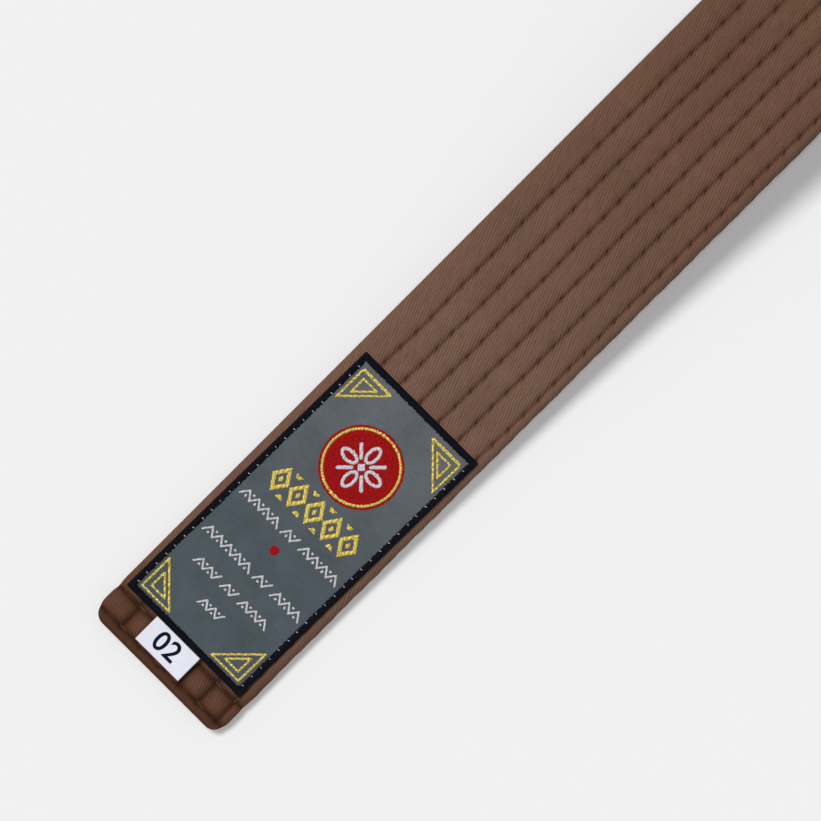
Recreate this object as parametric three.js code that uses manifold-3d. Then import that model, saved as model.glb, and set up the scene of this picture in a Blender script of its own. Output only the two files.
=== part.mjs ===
// A quilted cotton martial arts belt. Its label end lies out flat on the floor, and the rest of
// its length is folded into a hank with a band round it. Millimetres, +Z up: the strap runs along
// X with the label end at -X, and the underside of the label end and of the band is at Z = 0.

import * as THREE from 'three';
import { mergeVertices } from 'three/addons/utils/BufferGeometryUtils.js';
import Module from 'manifold-3d';

const wasm = await Module();
wasm.setup();

// The strap.
const beltLength = 2800;
const strapWidth = 40;
const strapThickness = 4.5;
const edgeChamfer = 1.0;
const foldedCornerRadius = 2.5;
const seamCornerRadius = 4.0;

// The cover, and the plies of batting it is wrapped round.
const sideWall = 1.6;
const tipWall = 1.6;
const wallUnderStitch = 0.25;
const plyCount = 3;
const plyGap = 0.16;
const plyEndGap = 0.3;
const seamNotchDepth = 0.6;
const seamNotchHeight = 0.4;

// Rows of stitching, measured from the folded edge (+Y) and from the closing seam (-Y).
const rowCount = 6;
const firstRowInset = 7.0;
const lastRowInset = 2.8;
const threadWidth = 0.9;
const threadHeight = 0.25;
const threadEndInset = 1.2;
const threadSideGap = 0.3;
const threadFloorGap = 0.1;
const threadCrossingGap = 0.15;
const crossThreadCover = 0.05;
const crossRowInset = 2.6;
const crossRowSpacing = 6.2;
const crossThreadSideInset = 1.5;

// The woven label, its overcast border and the thread that sews it down.
const labelTipInset = 10.35;
const labelLength = 75.3;
const labelFoldInset = 2.0;
const labelSeamInset = 2.1;
const labelThickness = 0.35;
const borderWidth = 1.8;
const borderThickness = 0.7;
const borderGap = 0.2;
const labelSewingInset = 0.7;
const labelSewingWidth = 0.5;
const labelSewingHeight = 0.25;
const restGap = 0.1;

// The size tag, a short ribbon that lies over the tip from under the label's end.
const tagTipInset = 3.0;
const tagWidth = 13.6;
const tagFoldInset = 11.5;
const tagThickness = 0.3;
const tagHingeGap = 0.25;

// How the strap lies: flat at the tip, then a slack rise to the top of the hank. The label end
// lifts on a hinge that is hingeLead before the hank.
const flatTip = 15;
const riseSpan = 305;
const riseStartPull = 135;
const riseEndPull = 60;
const riseSteps = 13;
const layers = 7;
const layerGap = 1.1;
const turnSteps = 4;
const hingeGap = 0.3;
const hingeLead = 30;

// The flat band round the hank.
const bandWidth = 20;
const bandThickness = 0.6;
const bandGap = 0.3;
const bandCornerRadius = 1.2;

const halfThickness = strapThickness / 2;
const channelWidth = threadWidth + 2 * threadSideGap;
const channelDepth = crossThreadCover + 2 * threadHeight + threadCrossingGap + threadFloorGap;
const pitch = strapThickness + layerGap;
const turnRadius = pitch / 2;
const hankBottom = bandThickness + bandGap;
const hankTop = hankBottom + (layers - 1) * pitch + strapThickness;
const hankStart = flatTip + riseSpan;
const cutMargin = 0.3;

// Stations along the strap's middle plane. Each has the distance run from the label tip, its
// place, and the direction that the label face looks in.
const stations = [];

function addStation(x, z, tilt) {
  const last = stations.at(-1);
  const run = last ? last.run + Math.hypot(x - last.x, z - last.z) : 0;
  stations.push({ run, x, z, faceX: -Math.sin(tilt), faceZ: Math.cos(tilt) });
}

function layRise() {
  const topMiddle = hankTop - halfThickness;
  const rise = new THREE.CubicBezierCurve(
    new THREE.Vector2(flatTip, halfThickness),
    new THREE.Vector2(flatTip + riseStartPull, halfThickness),
    new THREE.Vector2(hankStart - riseEndPull, topMiddle),
    new THREE.Vector2(hankStart, topMiddle),
  );
  addStation(0, halfThickness, 0);
  for (let step = 0; step <= riseSteps; step += 1) {
    const place = rise.getPointAt(step / riseSteps);
    const slope = rise.getTangentAt(step / riseSteps);
    addStation(place.x, place.y, Math.atan2(slope.y, slope.x));
  }
}

function layHank(runLength) {
  let x = hankStart;
  let z = hankTop - halfThickness;
  let heading = 1;
  for (let layer = 1; layer <= layers; layer += 1) {
    x += heading * runLength;
    addStation(x, z, heading > 0 ? 0 : -Math.PI);
    if (layer === layers) break;
    for (let step = 1; step <= turnSteps; step += 1) {
      const turned = Math.PI * step / turnSteps;
      addStation(
        x + heading * turnRadius * Math.sin(turned),
        z - turnRadius * (1 - Math.cos(turned)),
        heading > 0 ? -turned : turned - Math.PI,
      );
    }
    z -= pitch;
    heading = -heading;
  }
}

layRise();
const riseRun = stations.at(-1).run;
const hingeRun = riseRun - hingeLead;
const layerLength = (beltLength - riseRun - (layers - 1) * Math.PI * turnRadius) / layers;
layHank(layerLength);
const strapEnd = stations.at(-1);
const overallLength = hankStart + layerLength + turnRadius + halfThickness;

function stationAt(run) {
  const next = Math.max(1, stations.findIndex((station) => station.run >= run - 1e-9));
  const before = stations[next - 1];
  const after = stations[next];
  const share = (run - before.run) / (after.run - before.run);
  const mix = (key) => before[key] + share * (after[key] - before[key]);
  return { run, x: mix('x'), z: mix('z'), faceX: mix('faceX'), faceZ: mix('faceZ') };
}

// A stretch of the strap as a curve whose frames keep a section's first axis on the label face's
// normal and its second axis across the strap, towards the closing seam.
class StrapRun extends THREE.Curve {
  constructor(from, to) {
    super();
    const between = stations.filter(({ run }) => run > from + 1e-6 && run < to - 1e-6);
    this.places = [stationAt(from), ...between, stationAt(to)];
  }

  getSpacedPoints() {
    return this.places.map(({ x, z }) => new THREE.Vector3(x, 0, z));
  }

  computeFrenetFrames() {
    return {
      tangents: this.places.map(({ faceX, faceZ }) => new THREE.Vector3(faceZ, 0, -faceX)),
      normals: this.places.map(({ faceX, faceZ }) => new THREE.Vector3(faceX, 0, faceZ)),
      binormals: this.places.map(() => new THREE.Vector3(0, -1, 0)),
    };
  }
}

function sweep(section, from, to) {
  const extrudePath = new StrapRun(from, to);
  const steps = extrudePath.places.length - 1;
  return new THREE.ExtrudeGeometry(section, { steps, extrudePath });
}

// Sections are drawn as (height above the middle plane, distance from the folded edge).
function sectionFrom(points) {
  return new THREE.Shape(
    points.map(([height, across]) => new THREE.Vector2(height, across - strapWidth / 2)),
  );
}

function slab(low, high, near, far) {
  return sectionFrom([[low, near], [high, near], [high, far], [low, far]]);
}

function box(xs, ys, zs) {
  const geometry = new THREE.BoxGeometry(xs[1] - xs[0], ys[1] - ys[0], zs[1] - zs[0]);
  geometry.translate((xs[0] + xs[1]) / 2, (ys[0] + ys[1]) / 2, (zs[0] + zs[1]) / 2);
  return geometry;
}

function toSolid(geometry) {
  const bare = geometry.clone();
  bare.deleteAttribute('normal');
  bare.deleteAttribute('uv');
  const merged = mergeVertices(bare);
  return new wasm.Manifold(new wasm.Mesh({
    numProp: 3,
    vertProperties: new Float32Array(merged.attributes.position.array),
    triVerts: new Uint32Array(merged.index.array),
  }));
}

function toGeometry(solid) {
  const mesh = solid.getMesh();
  const geometry = new THREE.BufferGeometry();
  geometry.setAttribute('position', new THREE.BufferAttribute(mesh.vertProperties, 3));
  geometry.setIndex(new THREE.BufferAttribute(mesh.triVerts, 1));
  geometry.computeVertexNormals();
  return geometry;
}

function cut(geometry, ...cutters) {
  const left = cutters.reduce((solid, cutter) => solid.subtract(toSolid(cutter)), toSolid(geometry));
  return toGeometry(left);
}

const belt = new THREE.Group();
belt.name = 'martial_arts_belt';
belt.position.x = -overallLength / 2;

function addPiece(name, geometry, color, roughness) {
  const material = new THREE.MeshStandardMaterial({ color, roughness, metalness: 0 });
  const mesh = new THREE.Mesh(geometry, material);
  mesh.name = name;
  belt.add(mesh);
}

const coverColor = 0x6c5042;
const threadColor = 0x5a4034;
const plyColor = 0xd8cfbc;
const labelColor = 0x5b6462;
const borderColor = 0x17181b;
const labelSewingColor = 0x8e9296;
const tagColor = 0xf2f2ee;
const bandColor = 0x2b2b2e;

// The cover: its outline has a channel for each row of stitching on both faces, and a notch in
// the edge where its two turned-in sides meet.
const rowSpacing = (strapWidth - firstRowInset - lastRowInset) / (rowCount - 1);
const rowPlaces = Array.from({ length: rowCount }, (_, row) => firstRowInset + row * rowSpacing);

function faceOutline(height, floor) {
  return rowPlaces.flatMap((row) => [
    [height, row - channelWidth / 2],
    [floor, row - channelWidth / 2],
    [floor, row + channelWidth / 2],
    [height, row + channelWidth / 2],
  ]);
}

function coverOutline() {
  const floor = halfThickness - channelDepth;
  const side = halfThickness - edgeChamfer;
  return sectionFrom([
    [side, 0],
    [halfThickness, edgeChamfer],
    ...faceOutline(halfThickness, floor),
    [halfThickness, strapWidth - edgeChamfer],
    [side, strapWidth],
    [seamNotchHeight / 2, strapWidth],
    [seamNotchHeight / 2, strapWidth - seamNotchDepth],
    [-seamNotchHeight / 2, strapWidth - seamNotchDepth],
    [-seamNotchHeight / 2, strapWidth],
    [-side, strapWidth],
    [-halfThickness, strapWidth - edgeChamfer],
    ...faceOutline(-halfThickness, -floor).reverse(),
    [-halfThickness, edgeChamfer],
    [-side, 0],
  ]);
}

// What rounds off one corner of a strap end: endX is the end, inward points into the strap.
function cornerCutter(endX, middleZ, inward, side, radius) {
  const edge = side * strapWidth / 2;
  const centreX = endX + inward * radius;
  const centreY = edge - side * radius;
  const arcSteps = 4;
  const arc = [];
  for (let step = 0; step <= arcSteps; step += 1) {
    const angle = Math.PI / 2 * step / arcSteps;
    arc.push(new THREE.Vector2(
      centreX - inward * radius * Math.cos(angle),
      centreY + side * radius * Math.sin(angle),
    ));
  }
  const points = [
    arc[1].clone().lerp(arc[0], 1.3),
    ...arc.slice(1, -1),
    arc.at(-2).clone().lerp(arc.at(-1), 1.3),
    new THREE.Vector2(centreX + inward, edge + side),
    new THREE.Vector2(endX - inward, edge + side),
    new THREE.Vector2(endX - inward, centreY - side),
  ];
  const depth = strapThickness + 2 * cutMargin;
  const geometry = new THREE.ExtrudeGeometry(new THREE.Shape(points), { depth, bevelEnabled: false });
  geometry.translate(0, 0, middleZ - depth / 2);
  return geometry;
}

const crossRows = [crossRowInset, crossRowInset + crossRowSpacing];
const crossChannelDepth = crossThreadCover + threadHeight + threadFloorGap;

function crossChannel(endX, middleZ, inward, inset, face) {
  const centre = endX + inward * inset;
  const outside = middleZ + face * (halfThickness + cutMargin);
  const floor = middleZ + face * (halfThickness - crossChannelDepth);
  return box(
    [centre - channelWidth / 2, centre + channelWidth / 2],
    [-strapWidth / 2 - 1, strapWidth / 2 + 1],
    [Math.min(outside, floor), Math.max(outside, floor)],
  );
}

function endCutters(endX, middleZ, inward) {
  const channels = crossRows.flatMap((inset) => [
    crossChannel(endX, middleZ, inward, inset, 1),
    crossChannel(endX, middleZ, inward, inset, -1),
  ]);
  return [
    ...channels,
    cornerCutter(endX, middleZ, inward, 1, foldedCornerRadius),
    cornerCutter(endX, middleZ, inward, -1, seamCornerRadius),
  ];
}

const cavityHalf = halfThickness - channelDepth - wallUnderStitch;
const cavity = slab(-cavityHalf, cavityHalf, sideWall, strapWidth - sideWall);
const labelEndStop = hingeRun - hingeGap / 2;
const foldedStart = hingeRun + hingeGap / 2;
const strapStop = strapEnd.run;
const tipMiddle = halfThickness;

addPiece('label_end_cover', cut(
  sweep(coverOutline(), 0, labelEndStop),
  sweep(cavity, tipWall, hingeRun),
  ...endCutters(0, tipMiddle, 1),
), coverColor, 0.85);

addPiece('folded_cover', cut(
  sweep(coverOutline(), foldedStart, strapStop),
  sweep(cavity, hingeRun, strapStop - tipWall),
  ...endCutters(strapEnd.x, strapEnd.z, -1),
), coverColor, 0.85);

// The plies of batting that the cover is wrapped round.
const plyThickness = (2 * cavityHalf - (plyCount + 1) * plyGap) / plyCount;

for (let ply = 0; ply < plyCount; ply += 1) {
  const low = -cavityHalf + plyGap + ply * (plyThickness + plyGap);
  const near = sideWall + plyGap;
  const section = slab(low, low + plyThickness, near, strapWidth - near);
  const inset = tipWall + plyEndGap;
  addPiece(`label_end_ply_${ply + 1}`, sweep(section, inset, labelEndStop), plyColor, 0.95);
  addPiece(`folded_ply_${ply + 1}`, sweep(section, foldedStart, strapStop - inset), plyColor, 0.95);
}

// Lockstitch: a needle thread in each channel of the label face, a bobbin thread in the other.
const threadLow = halfThickness - channelDepth + threadFloorGap;

rowPlaces.forEach((row, index) => {
  const near = row - threadWidth / 2;
  const far = row + threadWidth / 2;
  const faces = [
    ['needle_thread', slab(threadLow, threadLow + threadHeight, near, far)],
    ['bobbin_thread', slab(-threadLow - threadHeight, -threadLow, near, far)],
  ];
  for (const [kind, section] of faces) {
    const labelEndThread = sweep(section, threadEndInset, labelEndStop);
    const foldedThread = sweep(section, foldedStart, strapStop - threadEndInset);
    addPiece(`label_end_${kind}_${index + 1}`, labelEndThread, threadColor, 0.7);
    addPiece(`folded_${kind}_${index + 1}`, foldedThread, threadColor, 0.7);
  }
});

// The rows that cross each end of the strap, over the lengthwise ones.
function crossThread(endX, middleZ, inward, inset, face) {
  const centre = endX + inward * inset;
  const high = halfThickness - crossThreadCover;
  const heights = [middleZ + face * high, middleZ + face * (high - threadHeight)];
  const reach = strapWidth / 2 - crossThreadSideInset;
  return box(
    [centre - threadWidth / 2, centre + threadWidth / 2],
    [-reach, reach],
    [Math.min(...heights), Math.max(...heights)],
  );
}

crossRows.forEach((inset, index) => {
  const ends = [
    ['label_end', 0, tipMiddle, 1],
    ['folded', strapEnd.x, strapEnd.z, -1],
  ];
  for (const [end, endX, middleZ, inward] of ends) {
    const needle = crossThread(endX, middleZ, inward, inset, 1);
    const bobbin = crossThread(endX, middleZ, inward, inset, -1);
    addPiece(`${end}_cross_needle_thread_${index + 1}`, needle, threadColor, 0.7);
    addPiece(`${end}_cross_bobbin_thread_${index + 1}`, bobbin, threadColor, 0.7);
  }
});

// The label: a woven ground inside an overcast border, and the thread that sews both down.
const labelBase = halfThickness + restGap;
const labelStop = labelTipInset + labelLength;

function labelPanel(inset, low, high) {
  const section = slab(low, high, labelFoldInset + inset, strapWidth - labelSeamInset - inset);
  return sweep(section, labelTipInset + inset, labelStop - inset);
}

const borderTop = labelBase + borderThickness;
const sewingBase = borderTop + restGap;
const sewingTop = sewingBase + labelSewingHeight;

addPiece(
  'label_ground',
  labelPanel(borderWidth + borderGap, labelBase, labelBase + labelThickness),
  labelColor,
  0.5,
);

addPiece('label_border', cut(
  labelPanel(0, labelBase, borderTop),
  labelPanel(borderWidth, labelBase - restGap / 2, borderTop + restGap / 2),
), borderColor, 0.8);

addPiece('label_sewing_thread', cut(
  labelPanel(labelSewingInset, sewingBase, sewingTop),
  labelPanel(labelSewingInset + labelSewingWidth, sewingBase - restGap / 2, sewingTop + restGap / 2),
), labelSewingColor, 0.7);

// The size tag.
const tagBase = strapThickness + restGap;

addPiece('size_tag', box(
  [tagTipInset, labelTipInset - tagHingeGap],
  [strapWidth / 2 - tagFoldInset - tagWidth, strapWidth / 2 - tagFoldInset],
  [tagBase, tagBase + tagThickness],
), tagColor, 0.6);

// The band: a loop round the middle of the hank, drawn in its own plane and then stood across X.
function roundedLoop(target, halfWidth, low, high, radius) {
  target.moveTo(-halfWidth + radius, low);
  target.lineTo(halfWidth - radius, low);
  target.absarc(halfWidth - radius, low + radius, radius, -Math.PI / 2, 0);
  target.lineTo(halfWidth, high - radius);
  target.absarc(halfWidth - radius, high - radius, radius, 0, Math.PI / 2);
  target.lineTo(-halfWidth + radius, high);
  target.absarc(-halfWidth + radius, high - radius, radius, Math.PI / 2, Math.PI);
  target.lineTo(-halfWidth, low + radius);
  target.absarc(-halfWidth + radius, low + radius, radius, Math.PI, 1.5 * Math.PI);
  return target;
}

function makeBand() {
  const inside = strapWidth / 2 + bandGap;
  const outside = inside + bandThickness;
  const insideRadius = bandCornerRadius - bandThickness;
  const loop = roundedLoop(
    new THREE.Shape(), outside, 0, hankTop + bandGap + bandThickness, bandCornerRadius,
  );
  loop.holes.push(roundedLoop(
    new THREE.Path(), inside, bandThickness, hankTop + bandGap, insideRadius,
  ));
  const options = { depth: bandWidth, bevelEnabled: false, curveSegments: 4 };
  const geometry = new THREE.ExtrudeGeometry(loop, options);
  const alongX = new THREE.Vector3(1, 0, 0);
  const alongY = new THREE.Vector3(0, 1, 0);
  const alongZ = new THREE.Vector3(0, 0, 1);
  geometry.applyMatrix4(new THREE.Matrix4().makeBasis(alongY, alongZ, alongX));
  geometry.translate(hankStart + layerLength / 2 - bandWidth / 2, 0, 0);
  return geometry;
}

addPiece('hank_band', makeBand(), bandColor, 0.8);

export default belt;
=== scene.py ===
# A quilted cotton martial arts belt: the label end lies out flat, and the rest of its length is
# folded into a hank with a band round it. Metres, +Z up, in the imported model's frame: the strap
# runs along X with its label end at -X, its folded edge at +Y and its closing seam at -Y.

import math

import bpy
import numpy as np
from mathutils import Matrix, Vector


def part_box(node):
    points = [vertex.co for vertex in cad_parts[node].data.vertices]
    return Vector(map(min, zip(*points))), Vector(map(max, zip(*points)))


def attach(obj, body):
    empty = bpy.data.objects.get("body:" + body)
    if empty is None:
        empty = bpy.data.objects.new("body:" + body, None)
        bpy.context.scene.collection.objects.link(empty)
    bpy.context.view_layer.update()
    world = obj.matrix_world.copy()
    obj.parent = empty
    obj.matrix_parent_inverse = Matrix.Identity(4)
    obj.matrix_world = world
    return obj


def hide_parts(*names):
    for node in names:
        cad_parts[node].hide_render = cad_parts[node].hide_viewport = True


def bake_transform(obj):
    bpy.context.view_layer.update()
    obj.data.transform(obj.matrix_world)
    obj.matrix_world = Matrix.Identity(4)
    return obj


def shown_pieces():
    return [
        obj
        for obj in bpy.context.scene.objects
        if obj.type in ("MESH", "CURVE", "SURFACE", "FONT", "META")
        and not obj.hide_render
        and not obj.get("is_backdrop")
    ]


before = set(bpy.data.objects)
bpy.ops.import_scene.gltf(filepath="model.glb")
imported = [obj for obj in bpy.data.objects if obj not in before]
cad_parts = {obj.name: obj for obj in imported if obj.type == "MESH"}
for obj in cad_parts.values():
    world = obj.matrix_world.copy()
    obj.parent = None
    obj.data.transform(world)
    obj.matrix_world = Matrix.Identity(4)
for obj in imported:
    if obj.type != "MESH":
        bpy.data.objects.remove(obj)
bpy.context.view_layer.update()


# ---- Floor, light and camera -------------------------------------------------------------
# A plain pale floor under an even pale sky, with a soft lamp high on the folded edge's side and a
# weaker one straight overhead.
# The camera looks straight down on the label end, with the strap rising to the upper right.

tip_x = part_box("label_end_cover")[0].x
floor_size = 60
floor_drop = 0.0002


def material_named(name, levels):
    """A new material with its tree and its Principled shader, whose even levels are set."""
    material = bpy.data.materials.new(name)
    material.use_nodes = True
    shader = material.node_tree.nodes["Principled BSDF"]
    for level, value in levels.items():
        shader.inputs[level].default_value = value
    return material, material.node_tree, shader


bpy.ops.mesh.primitive_plane_add(size=floor_size, location=(0, 0, -floor_drop))
floor = bpy.context.object
floor.name = "floor"
floor_paint = material_named("floor_paint", {
    "Base Color": (0.8, 0.8, 0.8, 1), "Roughness": 1.0, "Specular IOR Level": 0.0,
})[0]
floor.data.materials.append(floor_paint)
floor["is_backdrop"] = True

sky = bpy.data.worlds.new("sky")
sky.use_nodes = True
sky.node_tree.nodes["Background"].inputs["Color"].default_value = (1.0, 1.0, 1.0, 1)
sky.node_tree.nodes["Background"].inputs["Strength"].default_value = 0.22
bpy.context.scene.world = sky

for name, lean, strength, spread in (("soft_lamp", 25, 1.92, 18), ("overhead_fill", 0, 1.03, 7)):
    lamp = bpy.data.objects.new(name, bpy.data.lights.new(name, "SUN"))
    lamp.data.energy = strength
    lamp.data.angle = math.radians(spread)
    lamp.rotation_euler = (math.radians(-lean), 0, 0)
    bpy.context.scene.collection.objects.link(lamp)

camera_height = 1.6
label_height = 0.005
frame_width = 0.185
view_along = 0.0832
view_side = 0.00095
strap_slant = 45
sensor_width = 36
camera = bpy.data.objects.new("camera", bpy.data.cameras.new("camera"))
camera.data.sensor_width = sensor_width
camera.data.lens = sensor_width * (camera_height - label_height) / frame_width
camera.location = (tip_x + view_along, view_side, camera_height)
camera.rotation_euler = (0, 0, math.radians(-strap_slant))
camera.data.clip_end = 100
bpy.context.scene.collection.objects.link(camera)
bpy.context.scene.camera = camera
bpy.context.scene.view_settings.view_transform = "Standard"


# ---- Cover --------------------------------------------------------------------------------
# One strip of brown cotton twill, folded round the batting at the +Y edge, with its two raw sides
# turned in and closed at the -Y edge. The stitching draws it down into channels, and the
# batting puffs it up between them.

MM = 0.001
belt_length = 2.8
strap_width = 0.04
strap_half = 0.00225
flat_tip = 0.015
rise_start_pull = 0.135
rise_end_pull = 0.060
layers = 7
layer_pitch = 0.0056
rise_span = 0.305
hank_x = tip_x + flat_tip + rise_span
hank_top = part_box("folded_cover")[1].z


def lay_course():
    """The strap's middle line as it lies: each place's run from the label tip, its x, z and tilt,
    and how long the strap is up to the hank and in one layer of it."""
    t = np.linspace(0, 1, 401)[:, None]
    low = np.array([tip_x + flat_tip, strap_half])
    high = np.array([hank_x, hank_top - strap_half])
    pulled_low = low + (rise_start_pull, 0)
    pulled_high = high - (rise_end_pull, 0)
    rise = (1 - t) ** 3 * low + 3 * t * (1 - t) ** 2 * pulled_low
    rise = rise + 3 * t ** 2 * (1 - t) * pulled_high + t ** 3 * high
    slope = np.gradient(rise, axis=0)
    places = [np.array([[tip_x, strap_half, 0.0]])]
    places.append(np.column_stack([rise, np.arctan2(slope[:, 1], slope[:, 0])]))
    places[-1][[0, -1], 2] = 0
    tail = np.vstack(places)
    rise_run = np.hypot(*np.diff(tail[:, :2], axis=0).T).sum()
    turn = layer_pitch / 2
    layer_run = (belt_length - rise_run - (layers - 1) * math.pi * turn) / layers
    x, z, heading = hank_x, hank_top - strap_half, 1
    angle = np.linspace(0, math.pi, 33)[1:]
    for layer in range(layers):
        x += heading * layer_run
        places.append(np.array([[x, z, 0.0 if heading > 0 else -math.pi]]))
        if layer < layers - 1:
            places.append(np.column_stack([
                x + heading * turn * np.sin(angle),
                z - turn * (1 - np.cos(angle)),
                -angle if heading > 0 else angle - math.pi,
            ]))
        z -= layer_pitch
        heading = -heading
    course = np.vstack(places)
    steps = np.hypot(*np.diff(course[:, :2], axis=0).T)
    return np.concatenate([[0], np.cumsum(steps)]), course, rise_run, layer_run


course_run, course, rise_run, layer_run = lay_course()
belt_run = course_run[-1]


def on_strap(run, across, height):
    """Points on the strap as it lies, from the run along it, the distance from its folded edge, and
    the height above its middle towards the label face."""
    run, across, height = np.broadcast_arrays(run, across, height)
    x = np.interp(run, course_run, course[:, 0])
    z = np.interp(run, course_run, course[:, 1])
    tilt = np.interp(run, course_run, course[:, 2])
    return np.stack([
        x - height * np.sin(tilt),
        strap_width / 2 - across,
        z + height * np.cos(tilt),
    ], axis=-1)


def strap_stations(tail_step, top_step, inner_step):
    """Runs to build a long piece at: close together where the strap is seen near to."""
    turn_run = math.pi * layer_pitch / 2
    tail = np.arange(0, rise_run, tail_step)
    top = np.arange(rise_run, rise_run + layer_run, top_step)
    stations = [tail, top]
    start = rise_run + layer_run
    for _ in range(layers - 1):
        stations.append(start + np.linspace(0, turn_run, 11))
        start += turn_run
        stations.append(np.arange(start + inner_step, start + layer_run - inner_step / 2, inner_step))
        start += layer_run
    stations.append([belt_run])
    return np.unique(np.round(np.concatenate(stations), 7))


def make_piece(name, material, points, faces, runs, acrosses, smooth=True):
    """A mesh piece in its material. runs and acrosses say where each point is on its cloth."""
    mesh = bpy.data.meshes.new(name)
    mesh.from_pydata(points.reshape(-1, 3).tolist(), [], faces)
    places = np.stack(np.broadcast_arrays(runs, acrosses), axis=-1).reshape(-1, 2)
    corners = [index for face in faces for index in face]
    layer = mesh.uv_layers.new(name="cloth_place")
    layer.data.foreach_set("uv", places[corners].astype(np.float32).ravel())
    if smooth:
        mesh.shade_smooth()
    else:
        mesh.shade_flat()
    mesh.materials.append(material)
    piece = bpy.data.objects.new(name, mesh)
    bpy.context.scene.collection.objects.link(piece)
    return piece


def ring_faces(rings, columns):
    """Quads round a row of closed rings, and one face over each end."""
    first = np.arange(rings - 1)[:, None] * columns
    here = np.arange(columns)[None, :]
    there = (here + 1) % columns
    quads = np.stack([first + here, first + there, first + columns + there, first + columns + here], -1)
    last = (rings - 1) * columns
    ends = [list(range(columns - 1, -1, -1)), list(range(last, last + columns))]
    return quads.reshape(-1, 4).tolist() + ends


def bend_at_hank(piece):
    """Bakes the piece's placement into its mesh."""
    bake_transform(piece)


def put(tree, kind, inputs=(), **settings):
    """A node with its settings and inputs: a socket is linked, anything else is a value."""
    node = tree.nodes.new(kind)
    for key, value in settings.items():
        setattr(node, key, value)
    for key, value in dict(inputs).items():
        if isinstance(value, bpy.types.NodeSocket):
            tree.links.new(value, node.inputs[key])
        elif value is not None:
            node.inputs[key].default_value = value
    return node


def maths(tree, operation, first, second=None, third=None):
    """The result of one Math node."""
    return put(tree, "ShaderNodeMath", {0: first, 1: second, 2: third}, operation=operation).outputs[0]


def vectors(tree, operation, first, second):
    """The result of one Vector Math node. SCALE takes a single number as its second input."""
    key = "Scale" if operation == "SCALE" else 1
    return put(tree, "ShaderNodeVectorMath", {0: first, key: second}, operation=operation).outputs["Vector"]


def noise(tree, place, scale, detail, roughness=0.5):
    """Noise over the cloth, 0 to 1."""
    return put(tree, "ShaderNodeTexNoise", {
        "Vector": place, "Scale": scale, "Detail": detail, "Roughness": roughness,
    }).outputs["Fac"]


def parts_of(tree, vector):
    """The X, Y and Z of a vector."""
    return put(tree, "ShaderNodeSeparateXYZ", {0: vector}).outputs


def wave_of(tree, kind, value, factor, swing=0.5, middle=0.5):
    """The sine or cosine of a value times a factor, swinging about a middle."""
    wave = maths(tree, kind, maths(tree, "MULTIPLY", value, factor))
    return maths(tree, "MULTIPLY_ADD", wave, swing, middle)


def cloth_place_mm(tree):
    """Where a point is on its cloth, in millimetres."""
    place = put(tree, "ShaderNodeUVMap", uv_map="cloth_place").outputs["UV"]
    return vectors(tree, "SCALE", place, 1 / MM)


def srgb(red, green, blue):
    """A colour given in 0 to 255 as the shader wants it."""
    parts = [c / 255 for c in (red, green, blue)]
    return tuple(c / 12.92 if c <= 0.04045 else ((c + 0.055) / 1.055) ** 2.4 for c in parts) + (1,)


def ramp(tree, factor, *stops):
    """The colour from a ramp whose stops are each a position and a colour in 0 to 255."""
    node = put(tree, "ShaderNodeValToRGB", {"Fac": factor})
    elements = node.color_ramp.elements
    while len(elements) < len(stops):
        elements.new(1.0)
    for element, (position, colour) in zip(elements, stops):
        element.position = position
        element.color = srgb(*colour)
    return node.outputs["Color"]


def finish_surface(tree, shader, colour, relief, strength, height):
    """Gives a material's shader its colour and its fine relief."""
    bump = put(tree, "ShaderNodeBump", {"Height": relief, "Strength": strength, "Distance": height})
    tree.links.new(colour, shader.inputs["Base Color"])
    tree.links.new(bump.outputs["Normal"], shader.inputs["Normal"])


row_count = 6
first_row = 7.0 * MM
last_row = strap_width - 2.8 * MM
row_places = np.linspace(first_row, last_row, row_count)
cross_rows = (2.6 * MM, 8.8 * MM)
stitch_length = 4.9 * MM
cross_start = 1.3 * MM
row_reach = 3.1 * MM
seam_reach = 1.4 * MM
cross_reach = 2.8 * MM
tip_zone = 9 * MM
tip_fade = 6 * MM
hem_share = 0.6
tip_power = 2.1
power_gain = 1.6
cross_power = 2.3
seam_crown = 1.95 * MM
hem_crown = 1.75 * MM
crown_lump = 0.05 * MM
edge_lump = 0.05 * MM
fold_round = 2.6 * MM
seam_round = 1.9 * MM
end_round = 1.7 * MM
end_lip = 0.02 * MM
least_share = 0.03
channel_floor = 1.15 * MM
end_channel_floor = 0.8 * MM
hole_depth = 0.42 * MM
hole_reach = 0.78 * MM
hole_half_width = 0.23 * MM
hole_slant = -0.42
pit_depth = 0.4 * MM
pit_reach = 0.85 * MM
pit_shade = 0.9
pucker = 0.13 * MM
pucker_reach = 1.9 * MM
tip_nip = 0.24 * MM
nip_reach = 1.2 * MM
fold_corner = 4.0 * MM
seam_corner = 3.7 * MM
fold_pull_in = 0.25 * MM
row_dice = np.random.default_rng(7)
row_phase = row_dice.uniform(0, 2 * math.pi, (row_count, 3))
row_start = cross_rows[0] + row_dice.uniform(0, 0.35, row_count) * stitch_length


def row_wander(row, run):
    """How far a row of stitching strays from its straight line: all the rows sway together, and
    each strays a little on its own. Sways and their lengths are in millimetres."""
    together = 0.2 + 0.3 * np.cos((run / MM - 105) * 2 * math.pi / 110)
    slow = 0.09 * np.sin(run / MM * 2 * math.pi / 61 + row_phase[row, 0])
    quick = 0.06 * np.sin(run / MM * 2 * math.pi / 23 + row_phase[row, 1])
    return (together + slow + quick) * MM


def from_hole(run, start):
    """How far a run is past its nearest needle hole, less than half a stitch either way."""
    phase = (run - start) / stitch_length
    return (phase - np.round(phase)) * stitch_length


def puff(distance, reach, power):
    """0 on a row of stitching, rising to 1 where the batting fills the cover out."""
    return 1 - (1 - np.clip(distance / reach, 0, 1)) ** power


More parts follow.
